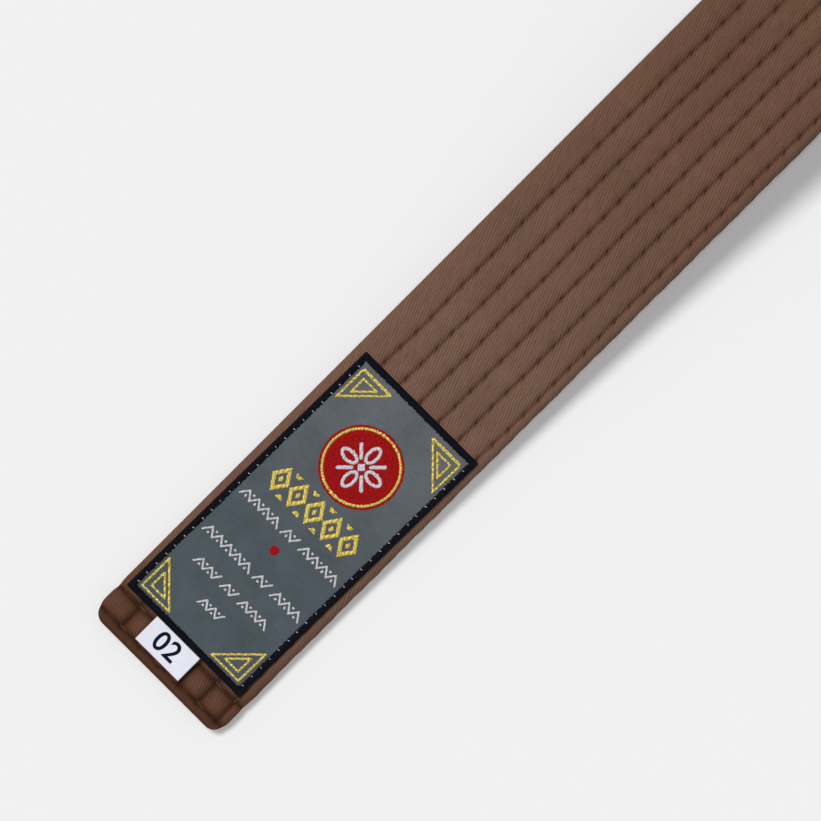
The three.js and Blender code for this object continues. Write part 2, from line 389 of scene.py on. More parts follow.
def round_off(distance, reach):
    """The quarter round of an edge: 0 at the edge, and 1 from reach inwards."""
    return np.sqrt(np.clip(1 - (1 - np.clip(distance / reach, 0, 1)) ** 2, 0, 1))


def panel_columns(spread):
    """Distances from the folded edge of the lines that one face of the cover is built on, with
    those beside each row of stitching spread as given. All are in millimetres here."""
    fold_edge = [0, 0.12, 0.4, 0.85, 1.4, 2.2, 3.4]
    seam_edge = [38.75, 39.2, 39.55, 39.8, 39.95]
    columns = fold_edge + [first_row / MM - d for d in spread[::-1]]
    for row in range(row_count - 1):
        left, right = row_places[row] / MM, row_places[row + 1] / MM
        columns += [left] + [left + d for d in spread] + [(left + right) / 2]
        columns += [right - d for d in spread[::-1]]
    left = row_places[-1] / MM
    columns += [left] + [left + d for d in spread if d < seam_reach / MM - 0.2] + seam_edge
    return np.array(sorted(set(columns))) * MM


def cover_height(run, across, detail):
    """Height of the cover's face above the strap's middle, and the painted shade of each point,
    which grows with how far down a channel and down a needle hole it is."""
    from_end = np.minimum(run, belt_run - run)
    hem = np.clip((from_end - hem_share * cross_rows[0]) / ((1 - hem_share) * cross_rows[0]), 0, 1)
    away = np.clip((from_end - tip_zone) / tip_fade, 0, 1)
    power = tip_power + power_gain * away
    lengthwise = np.ones(np.broadcast(run, across).shape)
    holes = np.zeros_like(lengthwise)
    puckers = np.zeros_like(lengthwise)
    pits = np.zeros_like(lengthwise)
    for row in range(row_count):
        place = row_places[row] + row_wander(row, run)
        distance = np.abs(across - place)
        reach = row_reach
        if row == row_count - 1:
            reach = np.where(across > place, seam_reach, row_reach)
        lengthwise = lengthwise * (1 - hem * (1 - puff(distance, reach, power)))
        past = from_hole(run, row_start[row])
        beside = (across - place - hole_slant * past) / hole_half_width
        holes = np.maximum(holes, hem * np.exp(-(past / hole_reach) ** 2 - beside ** 2))
        swell = np.cos(past / stitch_length * 2 * math.pi)
        for cross in cross_rows:
            spread = (distance / pit_reach) ** 2 + ((from_end - cross) / pit_reach) ** 2
            pits = np.maximum(pits, np.exp(-spread))
        drawn = 0.75 + 0.45 * np.sin(run / MM / 9.7 + row_phase[row, 2])
        puckers = puckers - pucker * drawn * swell * np.exp(-(distance / pucker_reach) ** 2) * detail
    crosswise = np.ones_like(lengthwise)
    for cross in cross_rows:
        distance = np.abs(from_end - cross)
        crosswise = crosswise * puff(distance, cross_reach, cross_power)
        past = from_hole(across, cross_start)
        hole = np.exp(-(past / hole_reach) ** 2 - (distance / hole_half_width) ** 2)
        holes = np.maximum(holes, hole)
    filled = lengthwise * crosswise
    crown = np.full_like(filled, strap_half)
    crown = np.where(across > last_row, seam_crown, crown)
    crown = np.where(from_end < cross_rows[0], hem_crown, crown)
    crown = crown - crown_lump * (1 + np.sin(run / MM / 7.3 + across / MM * 0.9))
    floor = end_channel_floor + (channel_floor - end_channel_floor) * away
    floor = floor - np.maximum(hole_depth * holes * detail, pit_depth * pits)
    height = floor + (crown - floor) * filled + puckers * (1 - filled ** 6)
    edge = round_off(across, fold_round) * round_off(strap_width - across, seam_round)
    end = round_off(from_end + end_lip, end_round)
    height = height * np.maximum(edge, least_share) * np.maximum(end, least_share)
    # The painted shade in a channel is wider and deeper near the strap's ends.
    # Painted shade: these weights darken the cover's colour down its channels and needle holes.
    channel = (1 - filled) ** (1.4 + 1.8 * away) * (1.5 - 0.5 * away)
    return height, channel, np.maximum(holes, pit_shade * pits)


def cover_across(run, across):
    """Where a line of the cover goes as the strap's corners round off, and as its rows wander."""
    from_end = np.minimum(run, belt_run - run)
    into_fold = np.clip(fold_corner - from_end, 0, fold_corner)
    into_seam = np.clip(seam_corner - from_end, 0, seam_corner)
    fold_in = fold_corner - np.sqrt(fold_corner ** 2 - into_fold ** 2)
    seam_in = seam_corner - np.sqrt(seam_corner ** 2 - into_seam ** 2)
    wander = np.zeros(np.broadcast(run, across).shape)
    for row in range(row_count):
        left = row_places[row - 1] if row else 0.0
        right = row_places[row + 1] if row < row_count - 1 else strap_width
        share = np.where(
            across < row_places[row],
            (across - left) / (row_places[row] - left),
            (right - across) / (right - row_places[row]),
        )
        wander = wander + np.clip(share, 0, 1) * row_wander(row, run)
    lump = edge_lump * np.sin(run / MM * 2 * math.pi / 19) + edge_lump * np.sin(run / MM * 1.31)
    nip = tip_nip * sum(np.exp(-((from_end - cross) / nip_reach) ** 2) for cross in cross_rows)
    share = across / strap_width
    pull_in = fold_pull_in * np.clip(1 - across / first_row, 0, 1)
    fold_side = pull_in + fold_in * (1 - share) + nip * (1 - share) ** 6
    seam_side = seam_in * share + (lump + nip) * share ** 6
    return across + wander + fold_side - seam_side


def weave_group(name, inputs):
    """A node group for a weave, with its own inputs and its two outputs, Height and Streak."""
    group = bpy.data.node_groups.new(name, "ShaderNodeTree")
    for socket, kind in inputs.items():
        group.interface.new_socket(name=socket, in_out="INPUT", socket_type=f"NodeSocket{kind}")
    for socket in ("Height", "Streak"):
        group.interface.new_socket(name=socket, in_out="OUTPUT", socket_type="NodeSocketFloat")
    return group, put(group, "NodeGroupInput").outputs, put(group, "NodeGroupOutput").inputs


rib_pitch = 0.63
rib_angle = 22
rib_sway = 2.4
float_length = 0.62
float_step = 0.37


def make_twill_group():
    """Twill: steep ribs across the strap, each a row of short yarn floats."""
    group, given, result = weave_group("twill_weave", {
        "Place": "Vector", "Rib Pitch": "Float", "Rib Angle": "Float",
    })
    turned = put(group, "ShaderNodeVectorRotate", {
        "Vector": given["Place"], "Axis": (0, 0, 1), "Angle": given["Rib Angle"],
    }).outputs["Vector"]
    parts = parts_of(group, turned)
    sway = noise(group, given["Place"], 0.07, 2.0)
    rib = maths(group, "DIVIDE", parts["Y"], given["Rib Pitch"])
    rib = maths(group, "ADD", rib, maths(group, "MULTIPLY", sway, rib_sway))
    ridge = wave_of(group, "COSINE", rib, 2 * math.pi)
    step = maths(group, "MULTIPLY", maths(group, "FLOOR", rib), float_step)
    float_place = maths(group, "ADD", maths(group, "DIVIDE", parts["X"], float_length), step)
    bead = wave_of(group, "COSINE", float_place, 2 * math.pi, 0.32, 0.68)
    height = maths(group, "MULTIPLY", ridge, bead)
    stretched = vectors(group, "MULTIPLY", turned, (0.25, 2.2, 1))
    group.links.new(height, result["Height"])
    group.links.new(noise(group, stretched, 1.0, 3.0, 0.65), result["Streak"])
    return group


brown_twill, tree, shader = material_named("brown_twill", {
    "Roughness": 0.95, "Specular IOR Level": 0.04,
    "Sheen Weight": 0.08, "Sheen Tint": srgb(178, 128, 96), "Sheen Roughness": 0.5,
})
place = cloth_place_mm(tree)
weave = put(tree, "ShaderNodeGroup", {
    "Place": place, "Rib Pitch": rib_pitch, "Rib Angle": math.radians(rib_angle),
}, node_tree=make_twill_group()).outputs
tone = maths(tree, "MULTIPLY_ADD", weave["Height"], 0.5, -0.2)
tone = maths(tree, "MULTIPLY_ADD", weave["Streak"], 0.55, tone)
tone = maths(tree, "MULTIPLY_ADD", noise(tree, place, 2.6, 2.0), 0.4, tone)
ribs = ramp(tree, tone, (0.1, (85, 60, 48)), (0.9, (136, 107, 92)))
blotch = maths(tree, "MULTIPLY_ADD", noise(tree, place, 0.05, 3.0), 0.36, 0.82)
along = parts_of(tree, place)["X"]
# Darker at the very tip, palest some 90 mm along the strap, and a little darker again beyond.
tone_along_strap = ramp(
    tree, maths(tree, "DIVIDE", along, 200.0),
    (0.0, (172, 147, 121)), (0.016, (218, 197, 184)), (0.05, (222, 203, 192)),
    (0.12, (243, 238, 235)), (0.45, (255, 255, 255)), (0.9, (237, 229, 222)),
)
dye = ramp(
    tree, noise(tree, place, 0.075, 2.0),
    (0.36, (252, 255, 248)), (0.5, (255, 254, 254)), (0.64, (255, 252, 255)),
)
dyed = vectors(tree, "SCALE", ribs, blotch)
dyed = vectors(tree, "MULTIPLY", dyed, tone_along_strap)
dyed = vectors(tree, "MULTIPLY", dyed, dye)
# Painted shade: down the channels and needle holes the dyed cloth is darkened towards a deep brown, in
# place of the shade that falls there.
channel = put(tree, "ShaderNodeAttribute", attribute_name="channel").outputs["Fac"]
hole = put(tree, "ShaderNodeAttribute", attribute_name="needle_hole_shade").outputs["Fac"]
depth = maths(tree, "MULTIPLY", maths(tree, "POWER", channel, 1.3), 0.46)
depth = maths(tree, "MAXIMUM", depth, hole)
dye_under_painted_shade = vectors(tree, "SCALE", dyed, maths(tree, "SUBTRACT", 1.0, depth))
painted_hollow_shade = vectors(tree, "SCALE", srgb(36, 14, 4)[:3], depth)
finish_surface(tree, shader, vectors(tree, "ADD", dye_under_painted_shade, painted_hollow_shade), weave["Height"], 0.7, 0.12 * MM)

# The lines across the strap are close together where it is seen near to, and closer at its ends.
fine_length = 0.24
fine_step, rise_step, top_step, inner_step = 0.57 * MM, 1.5 * MM, 3 * MM, 18 * MM
line_gap = 0.16 * MM
cover_runs = strap_stations(fine_step, top_step, inner_step)
past_fine = (cover_runs > fine_length) & (cover_runs < rise_run)
cover_runs = np.concatenate([cover_runs[~past_fine], np.arange(fine_length, rise_run, rise_step)])
near_ends = []
for cross in cross_rows:
    near_ends += [cross + d * MM for d in (-0.9, -0.5, -0.22, 0, 0.22, 0.5, 0.9)]
near_ends += [d * MM for d in (0.08, 0.2, 0.4, 0.8, 1.2)]
near_ends += [belt_run - run for run in near_ends] + [belt_run - d * MM for d in (2, 4, 5, 6, 7, 11)]
plain_runs = [r for r in cover_runs if min(abs(r - n) for n in near_ends) > line_gap]
cover_runs = np.unique(np.concatenate([plain_runs, near_ends]))

label_face = panel_columns([0.16, 0.36, 0.7, 1.2, 2.0])
other_face = panel_columns([0.9])[::-1]
columns = np.concatenate([other_face, label_face])
facing = np.concatenate([-np.ones(len(other_face)), np.ones(len(label_face))])
run_grid = cover_runs[:, None]
detail_fade = 10 * MM
# The needle holes and puckers fade out past the hank's top layer, where nobody sees them.
detail = np.clip((rise_run + layer_run - run_grid) / detail_fade, 0, 1)
across_grid = cover_across(run_grid, columns[None])
height_grid, channel_shade_grid, hole_shade_grid = cover_height(run_grid, across_grid, detail)
cover_points = on_strap(run_grid, across_grid, height_grid * facing[None])
cover_faces = ring_faces(len(cover_runs), len(columns))
cover = make_piece(
    "cover", brown_twill, cover_points, cover_faces, run_grid, columns * facing,
)
# The channel and needle hole weights carried on the cover are painted shade for its material.
for name, values in (("channel", channel_shade_grid), ("needle_hole_shade", hole_shade_grid)):
    attribute = cover.data.attributes.new(name, "FLOAT", "POINT")
    attribute.data.foreach_set("value", np.ascontiguousarray(values, np.float32).ravel())
bend_at_hank(cover)
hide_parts("label_end_cover", "folded_cover")


# ---- Batting ------------------------------------------------------------------------------
# Three plies of undyed cotton batting, cut narrower than the strap and laid on each other from
# end to end. The cover is wrapped round them, and every row of stitching goes through them.

batting_cotton, tree, shader = material_named("batting_cotton", {"Roughness": 0.95})
fluff = noise(tree, cloth_place_mm(tree), 1.4, 4.0)
cream = ramp(tree, fluff, (0.0, (196, 186, 168)), (1.0, (232, 226, 212)))
finish_surface(tree, shader, cream, fluff, 0.6, 0.3 * MM)

ply_count = 3
ply_gap = 0.1 * MM
least_ply = 0.02 * MM
ply_side_inset = 1.76 * MM
ply_end_inset = 1.9 * MM
fold_side_line = 4.2 * MM
full_half = 1.45 * MM
pinched_half = 0.25 * MM
side_halves = (0.8 * MM, 0.5 * MM)
same_place = 1e-6
panel_middles = (row_places[1:] + row_places[:-1]) / 2
ply_across = np.sort(np.concatenate([
    [ply_side_inset, fold_side_line], row_places, panel_middles, [strap_width - ply_side_inset],
]))
at_row = np.array([np.abs(row_places - place).min() < same_place for place in ply_across])
ply_half = np.where(at_row, pinched_half, full_half)
ply_half[[0, -1]] = side_halves
between_crosses = (cross_rows[0] + cross_rows[1]) / 2
past_crosses = cross_rows[1] + 2.7 * MM
inner_runs = strap_stations(6 * MM, 30 * MM, 60 * MM)
inner_runs = inner_runs[(inner_runs > past_crosses + MM) & (inner_runs < belt_run - past_crosses - MM)]
end_runs = np.array([ply_end_inset, *cross_rows, between_crosses, past_crosses])
ply_runs = np.sort(np.concatenate([end_runs, inner_runs, belt_run - end_runs]))
run_from_end = np.minimum(ply_runs, belt_run - ply_runs)
crossed = np.array([np.abs(np.array(cross_rows) - run).min() < same_place for run in run_from_end])
ply_fill = np.where(crossed | (run_from_end < cross_rows[0]), pinched_half / full_half, 1.0)

across = cover_across(ply_runs[:, None], np.concatenate([ply_across, ply_across[::-1]]))
faces = ring_faces(*across.shape)
for ply in range(ply_count):
    low = (2 * ply / ply_count - 1) * ply_half[None] * ply_fill[:, None] + ply_gap / 2
    high = (2 * (ply + 1) / ply_count - 1) * ply_half[None] * ply_fill[:, None] - ply_gap / 2
    high = np.maximum(high, low + least_ply)
    points = on_strap(ply_runs[:, None], across, np.concatenate([high, low[:, ::-1]], axis=1))
    name = f"batting_ply_{ply + 1}"
    batting = make_piece(name, batting_cotton, points, faces, ply_runs[:, None], across)
    bend_at_hank(batting)
    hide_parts(f"label_end_ply_{ply + 1}", f"folded_ply_{ply + 1}")


# ---- Lengthwise stitching ------------------------------------------------------------------
# Six rows of lockstitch in brown spun thread, sewn through the whole strap from end to end. The
# needle thread shows on the label face and the bobbin thread on the other, each stitch lying a
# little across its row and going down at the needle holes.


def face_of_strap(run):
    """The direction that the label face looks in at each run."""
    tilt = np.interp(run, course_run, course[:, 2])
    return np.stack([-np.sin(tilt), np.zeros_like(tilt), np.cos(tilt)], axis=-1)


def make_threads(name, material, lines, ups, width, height, taper, sides=6):
    """Short lengths of thread: lines and ups are (threads, points, 3) arrays."""
    twist_shift = 0.0137
    along = np.gradient(lines, axis=1)
    along /= np.linalg.norm(along, axis=-1, keepdims=True)
    side = np.cross(along, ups)
    side /= np.linalg.norm(side, axis=-1, keepdims=True)
    up = np.cross(side, along)
    angle = np.arange(sides) * 2 * math.pi / sides
    size = np.asarray(taper)[None, :, None, None] / 2
    wide = np.cos(angle)[None, None, :, None] * side[:, :, None, :] * width * size
    high = np.sin(angle)[None, None, :, None] * up[:, :, None, :] * height * size
    points = lines[:, :, None, :] + wide + high
    count, rings = lines.shape[:2]
    one = ring_faces(rings, sides)
    quads = np.array(one[:-2])[None] + np.arange(count)[:, None, None] * rings * sides
    ends = np.array(one[-2:])[None] + np.arange(count)[:, None, None] * rings * sides
    faces = quads.reshape(-1, 4).tolist() + ends.reshape(-1, sides).tolist()
    lengths = np.linalg.norm(np.diff(lines, axis=1), axis=-1)
    lengths = np.concatenate([np.zeros((count, 1)), np.cumsum(lengths, axis=1)], axis=1)
    turn = np.tile(np.arange(sides) * width * 3 / sides, count * rings)
    down = np.repeat(lengths.ravel() + np.repeat(np.arange(count) * twist_shift, rings), sides)
    return make_piece(name, material, points, faces, down, turn)


def thread_material(name, dark, light, roughness, twist=0.55, shine=0.1, metal=0.0):
    """Spun thread: two colours along its twist, with the twist raised."""
    material, tree, shader = material_named(name, {
        "Roughness": roughness, "Specular IOR Level": shine, "Metallic": metal,
    })
    place = cloth_place_mm(tree)
    parts = parts_of(tree, place)
    lay = maths(tree, "ADD", parts["X"], maths(tree, "MULTIPLY", parts["Y"], 0.8))
    wave = wave_of(tree, "SINE", lay, 2 * math.pi / twist)
    fuzz = maths(tree, "MULTIPLY_ADD", noise(tree, place, 1.7, 3.0), 0.9, -0.2)
    tone = maths(tree, "MULTIPLY_ADD", wave, 0.5, fuzz)
    finish_surface(tree, shader, ramp(tree, tone, (0.0, dark), (1.0, light)), wave, 0.5, 0.06 * MM)
    return material


brown_thread = thread_material("brown_thread", (70, 42, 27), (113, 79, 59), 0.85, shine=0.04)
thread_width = 0.34 * MM
thread_height = 0.8 * thread_width
thread_rest = channel_floor + 0.12 * MM
end_thread_rest = end_channel_floor - 0.17 * MM
thread_dive = 0.8 * MM
stitch_slant = 0.17 * MM
along_stitch = np.array([0.09, 0.16, 0.27, 0.5, 0.73, 0.84, 0.91])
rise_of_stitch = np.array([-1.0, -0.35, 0.0, 0.12, 0.0, -0.35, -1.0])
stitch_taper = np.array([0.75, 0.95, 1.0, 1.0, 1.0, 0.95, 0.75])


def sew_row(before, after, runs, across, rest):
    """One row's needle and bobbin threads, each with its kind, which goes in the piece's name."""
    for kind, face in (("needle_thread", 1), ("bobbin_thread", -1)):
        lines = on_strap(runs, across, face * (rest + thread_dive * rise_of_stitch))
        yield kind, make_threads(
            f"{before}{kind}{after}", brown_thread, lines, face_of_strap(runs) * face,
            thread_width, thread_height, stitch_taper, sides=5,
        )


for row in range(row_count):
    holes = np.arange(row_start[row], belt_run - cross_rows[0], stitch_length)
    runs = holes[:-1, None] + along_stitch * np.diff(holes)[:, None]
    slant = stitch_slant * (along_stitch - 0.5) * 2
    across = row_places[row] + row_wander(row, runs) + slant
    from_end = np.minimum(runs, belt_run - runs)
    rest = np.interp(from_end, (tip_zone, tip_zone + tip_fade), (end_thread_rest, thread_rest))
    for kind, thread in sew_row("", f"_{row + 1}", runs, across, rest):
        bend_at_hank(thread)
        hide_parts(f"label_end_{kind}_{row + 1}", f"folded_{kind}_{row + 1}")


# ---- Cross rows ----------------------------------------------------------------------------
# Two rows of the same thread across each end of the strap, sewn last. They hold the turned-in end
# of the cover shut and make the square pillows at the tip.

cross_slant = 0.12 * MM
cross_stray = 0.05 * MM
cross_stop = strap_width - 1.5 * MM
cross_holes = np.arange(cross_start, cross_stop, stitch_length)[:-1, None]
cross_dice = np.random.default_rng(11)
for end, body in (("label_end", "label_end"), ("folded", "folded_length")):
    for index, inset in enumerate(cross_rows):
        run = inset if end == "label_end" else belt_run - inset
        across = cross_holes + along_stitch * stitch_length
        stray = cross_dice.normal(0, cross_stray, cross_holes.shape)
        runs = run + (cross_slant * (0.5 - along_stitch) * 2 + stray)
        for kind, thread in sew_row(f"{end}_cross_", f"_row_{index + 1}", runs, across, end_thread_rest):
            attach(thread, body)
            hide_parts(f"{end}_cross_{kind}_{index + 1}")


# ---- Label ground --------------------------------------------------------------------------
# The label is one piece of slate grey satin, woven on a narrow loom and sewn flat on the strap. It
# sits a little skew, and dips slightly where the rows of stitching pass under it.

label_start = 10.35 * MM
label_length = 75.3 * MM
label_near = 2.25 * MM
label_far = strap_width - 2.35 * MM
label_base = strap_half + 0.1 * MM
label_skew = math.tan(math.radians(0.8))
label_middle = label_start + label_length / 2
label_dip = 0.05 * MM
dip_reach = 1.1 * MM
label_sway = 0.035 * MM
ground_inset = 0.5 * MM
ground_height = 0.35 * MM


def on_label(run, across, height):
    """Points on the label, from run and across on the strap and height above the label's base."""
    run, across, height = np.broadcast_arrays(run, across, height)
    skewed = across + (run - label_middle) * label_skew
    dip = np.zeros_like(skewed)
    for row in range(row_count):
        dip = dip + label_dip * np.exp(-((skewed - row_places[row]) / dip_reach) ** 2)
    sway = label_sway * np.sin(run / MM * 0.21 + skewed / MM * 0.13)
    return on_strap(run, skewed, label_base + height - dip + sway)


def make_panel(name, material, runs, acrosses, low, high, lay):
    """A thin cloth panel on a grid, with a top, an underside and edges."""
    run_grid, across_grid = np.meshgrid(runs, acrosses, indexing="ij")
    points = np.stack([lay(run_grid, across_grid, height) for height in (high, low)])
    index = np.arange(run_grid.size).reshape(run_grid.shape)
    top = np.stack([index[:-1, :-1], index[:-1, 1:], index[1:, 1:], index[1:, :-1]], -1).reshape(-1, 4)
    underside = top[:, [0, 3, 2, 1]] + index.size
    rim = np.concatenate([index[0], index[1:, -1], index[-1, -2::-1], index[-2:0:-1, 0]])
    rim_next = np.roll(rim, -1)
    sides = np.stack([rim_next, rim, rim + index.size, rim_next + index.size], -1)
    faces = np.concatenate([top, underside, sides]).tolist()
    return make_piece(name, material, points, faces, np.stack([run_grid] * 2), across_grid)


def ridges(tree, value, factor):
    """Rounded ridges side by side: the size of the sine of a value times a factor."""
    return maths(tree, "ABSOLUTE", maths(tree, "SINE", maths(tree, "MULTIPLY", value, factor)))


def make_satin_group():
    """Satin: fine yarns side by side, with a few that stand out."""
    group, given, result = weave_group("satin_weave", {"Place": "Vector", "Yarn Pitch": "Float"})
    parts = parts_of(group, given["Place"])
    yarn = maths(group, "DIVIDE", parts["X"], given["Yarn Pitch"])
    ridge = ridges(group, yarn, math.pi)
    shift = maths(group, "MULTIPLY", maths(group, "FLOOR", yarn), 0.4)
    bind = maths(group, "ADD", maths(group, "DIVIDE", parts["Y"], 0.9), shift)
    bind = maths(group, "FRACT", bind)
    bind = maths(group, "GREATER_THAN", bind, 0.16)
    height = maths(group, "MULTIPLY", ridge, maths(group, "MULTIPLY_ADD", bind, 0.5, 0.5))
    stretched = vectors(group, "MULTIPLY", given["Place"], (5.0, 0.35, 1))
    group.links.new(height, result["Height"])
    group.links.new(noise(group, stretched, 1.0, 3.0), result["Streak"])
    return group


satin_group = make_satin_group()


def satin_material(name, dark, light, roughness, pitch=0.3, near_painted_shade=(255, 255, 255)):
    """Satin weave in one colour, from its hollows to its floats, with painted shade towards its near end.
    """
    material, tree, shader = material_named(name, {
        "Roughness": roughness, "Specular IOR Level": 0.15,
    })
    place = cloth_place_mm(tree)
    weave = put(tree, "ShaderNodeGroup", {
        "Place": place, "Yarn Pitch": pitch,
    }, node_tree=satin_group).outputs
    cloud = maths(tree, "MULTIPLY", noise(tree, place, 0.12, 3.0), 0.5)
    tone = maths(tree, "MULTIPLY_ADD", weave["Height"], 0.25, cloud)
    tone = maths(tree, "ADD", tone, maths(tree, "MULTIPLY_ADD", weave["Streak"], 0.6, -0.15))
    colour = ramp(tree, tone, (0.0, dark), (1.0, light))
    # Painted shade: darker and cooler towards the near end, where the satin's sheen is painted weaker.
    along = parts_of(tree, place)["X"]
    along = maths(tree, "DIVIDE", along, 100.0)
    shade = ramp(tree, along, (0.4, near_painted_shade), (0.78, (254, 251, 252)))
    toned = vectors(tree, "MULTIPLY", colour, shade)
    finish_surface(tree, shader, toned, weave["Height"], 0.4, 0.05 * MM)
    return material


grey_satin = satin_material(
    "grey_satin", (50, 56, 60), (106, 112, 116), 0.6, near_painted_shade=(203, 216, 222),
)
ground = make_panel(
    "label_ground_satin", grey_satin,
    np.linspace(label_start + ground_inset, label_start + label_length - ground_inset, 109),
    np.linspace(label_near + ground_inset, label_far - ground_inset, 61),
    0.0, ground_height, on_label,
)
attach(ground, "label_end")
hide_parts("label_ground")


# ---- Woven figures -------------------------------------------------------------------------
# The figures are floats of gold, red and pale yarn, woven into the label row by row: a roundel
# with a flower in it, a band of diamonds, corner triangles and narrow rows of small ornament. They
# are plain shapes of no particular maker.

weft_pitch = 0.24 * MM
yarn_width = 1.08 * weft_pitch
yarn_height = 0.16 * MM
float_taper = np.array([0.7, 1, 1, 1, 0.7])
float_bow = 0.07 * MM
float_dice = np.random.default_rng(23)


def near_line(run, across, start, stop, width):
    """True within half a width of the line between two points, in millimetres."""
    start, stop = np.array(start, float), np.array(stop, float)
    line = stop - start
    share = ((run - start[0]) * line[0] + (across - start[1]) * line[1]) / (line @ line)
    share = np.clip(share, 0, 1)
    gap = np.hypot(run - start[0] - share * line[0], across - start[1] - share * line[1])
    return gap <= width / 2


def near_outline(run, across, corners, width):
    """True on the outline of a closed shape."""
    hit = np.zeros(np.shape(run), bool)
    for start, stop in zip(corners, corners[1:] + corners[:1]):
        hit |= near_line(run, across, start, stop, width)
    return hit


def weave_figure(name, shape, material, lift, longest=2.4, ragged=0.12):
    """Weaves a shape out of yarn floats that run across the label."""
    margin, grain, shortest, cut_stray = 1.2, 0.05, 0.15, 0.5
    rows = np.arange(label_start / MM + 1, (label_start + label_length) / MM - 1, weft_pitch / MM)
    fine = np.arange(label_near / MM + margin, label_far / MM - margin, grain)
    starts, stops, places = [], [], []
    for run in rows:
        inside = shape(np.full_like(fine, run), fine)
        change = np.flatnonzero(np.diff(np.concatenate([[0], inside.astype(int), [0]])))
        for first, last in zip(change[::2], change[1::2]):
            left, right = fine[first], fine[min(last, len(fine) - 1)]
            if right - left < shortest:
                continue
            pieces = max(1, math.ceil((right - left) / longest))
            cuts = np.linspace(left, right, pieces + 1)
            cuts[1:-1] += float_dice.uniform(-cut_stray, cut_stray, pieces - 1)
            cuts[[0, -1]] += float_dice.uniform(-ragged, ragged, 2)
            starts += list(cuts[:-1])
            stops += list(cuts[1:])
            places += [run] * pieces
    starts, stops, places = (np.array(v) * MM for v in (starts, stops, places))
    share = np.array([0.0, 0.12, 0.5, 0.88, 1.0])[None]
    across = starts[:, None] + share * (stops - starts)[:, None]
    runs = places[:, None] + 0 * across
    bow = np.array([0.0, 0.7, 1.0, 0.7, 0.0])[None] * float_bow
    lines = on_label(runs, across, ground_height + lift + bow)
    figure = make_threads(
        name, material, lines, face_of_strap(runs), yarn_width, yarn_height, float_taper,
    )
    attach(figure, "label_end")


# The figures' places and sizes, in millimetres along and across the strap.
roundel = (66.5, 20.0)
roundel_radius = 9.7
ring_radius = 8.85
ring_width = 0.62
flower_heart = 1.15
petal_middle = 3.75
petal_outside = (2.45, 1.5)
petal_inside = (1.65, 0.72)
bar_ends = (2.2, 5.3)
bar_width = 0.85
gold_width = 0.55
corner_runs = ((12.6, 1), (82.6, -1))
corner_sides = ((4.6, 1), (35.2, -1))
corner_triangles = ((0.0, 8.6), (1.55, 4.1))
band_middle = 51.8
band_near, band_far = 6.6, 33.2
diamonds = 5
diamond_height = 3.8
red_dot = (39.3, 19.8)
red_dot_radius = 1.1
narrow_rows = (
    (43.2, 4.9, 35.0, (8, 3, 8)), (31.4, 4.9, 35.0, (10, 3, 6)),
    (24.8, 8.6, 31.0, (5, 3, 6)), (18.8, 16.0, 22.6, (5,)),
)


def roundel_shape(run, across):
    """The roundel's red ground, with room left for its ring and its flower."""
    inside = np.hypot(run - roundel[0], across - roundel[1]) <= roundel_radius
    return inside & ~ring_shape(run, across) & ~flower_shape(run, across)


def ring_shape(run, across):
    """The gold ring just inside the roundel's edge."""
    return np.abs(np.hypot(run - roundel[0], across - roundel[1]) - ring_radius) <= ring_width / 2


def flower_shape(run, across):
    """Four outlined petals round a small diamond, with a short bar between each two petals."""
    up, right = run - roundel[0], across - roundel[1]
    hit = np.abs(up) + np.abs(right) <= flower_heart
    for turn in range(4):
        angle = turn * math.pi / 2
        out = up * math.cos(angle) + right * math.sin(angle) - petal_middle
        beside = right * math.cos(angle) - up * math.sin(angle)
        filled, hollow = [
            (out / long) ** 2 + (beside / wide) ** 2 <= 1 for long, wide in (petal_outside, petal_inside)
        ]
        hit |= filled & ~hollow
        slant = angle + math.pi / 4
        near, far = [(end * math.cos(slant), end * math.sin(slant)) for end in bar_ends]
        hit |= near_line(up, right, near, far, bar_width)
    return hit


def corner_shape(run, across):
    """Two nested triangles in each of the label's corners."""
    hit = np.zeros(np.shape(run), bool)
    for corner_run, along in corner_runs:
        for corner_across, inwards in corner_sides:
            for inset, leg in corner_triangles:
                first = (corner_run + along * inset, corner_across + inwards * inset)
                second = (first[0] + along * leg, first[1])
                third = (first[0], first[1] + inwards * leg)
                hit |= near_outline(run, across, [first, second, third], gold_width)
    return hit


def ornament_shape(run, across):
    """A band of diamonds, with small wedges between them."""
    hit = np.zeros(np.shape(run), bool)
    reach = (band_far - band_near) / diamonds / 2
    up = np.abs(run - band_middle)
    for number in range(diamonds):
        right = np.abs(across - band_near - reach * (2 * number + 1))
        size = up / diamond_height + right / reach
        hit |= ((size <= 0.98) & (size >= 0.52)) | (size <= 0.24)
    for number in range(diamonds - 1):
        right = np.abs(across - band_near - reach * (2 * number + 2))
        hit |= (up <= 3.7) & (up >= 2.6) & (right <= (up - 1.9) * 0.62)
    return hit


def gold_shape(run, across):
    """All that is woven in gold."""
    return ring_shape(run, across) | corner_shape(run, across) | ornament_shape(run, across)


def narrow_row(run, across, foot, start, stop, groups):
    """A narrow row of ornament: lengths of zigzag with a dot in each bend. groups counts bends."""
    gap, tall, width, dot = 1.3, 1.9, 0.42, 0.3
    pitch = (stop - start - gap * (len(groups) - 1)) / sum(groups)
    hit = np.zeros(np.shape(run), bool)
    place = start
    for count in groups:
        for number in range(count):
            low, high = (foot, foot + tall) if number % 2 == 0 else (foot + tall, foot)
            hit |= near_line(run, across, (low, place), (high, place + pitch), width)
            if number:
                beside = foot + (dot if number % 2 else tall - dot)
                hit |= np.hypot(run - beside, across - place) <= dot
            place += pitch
        place += gap
    return hit


def dot_shape(run, across):
    """The red dot between the narrow rows."""
    return np.hypot(run - red_dot[0], across - red_dot[1]) <= red_dot_radius


def red_shape(run, across):
    """All that is woven in red."""
    return roundel_shape(run, across) | dot_shape(run, across)


def pale_shape(run, across):
    """All that is woven in pale yarn: the flower and the narrow rows."""
    hit = flower_shape(run, across)
    for row in narrow_rows:
        hit |= narrow_row(run, across, *row)
    return hit


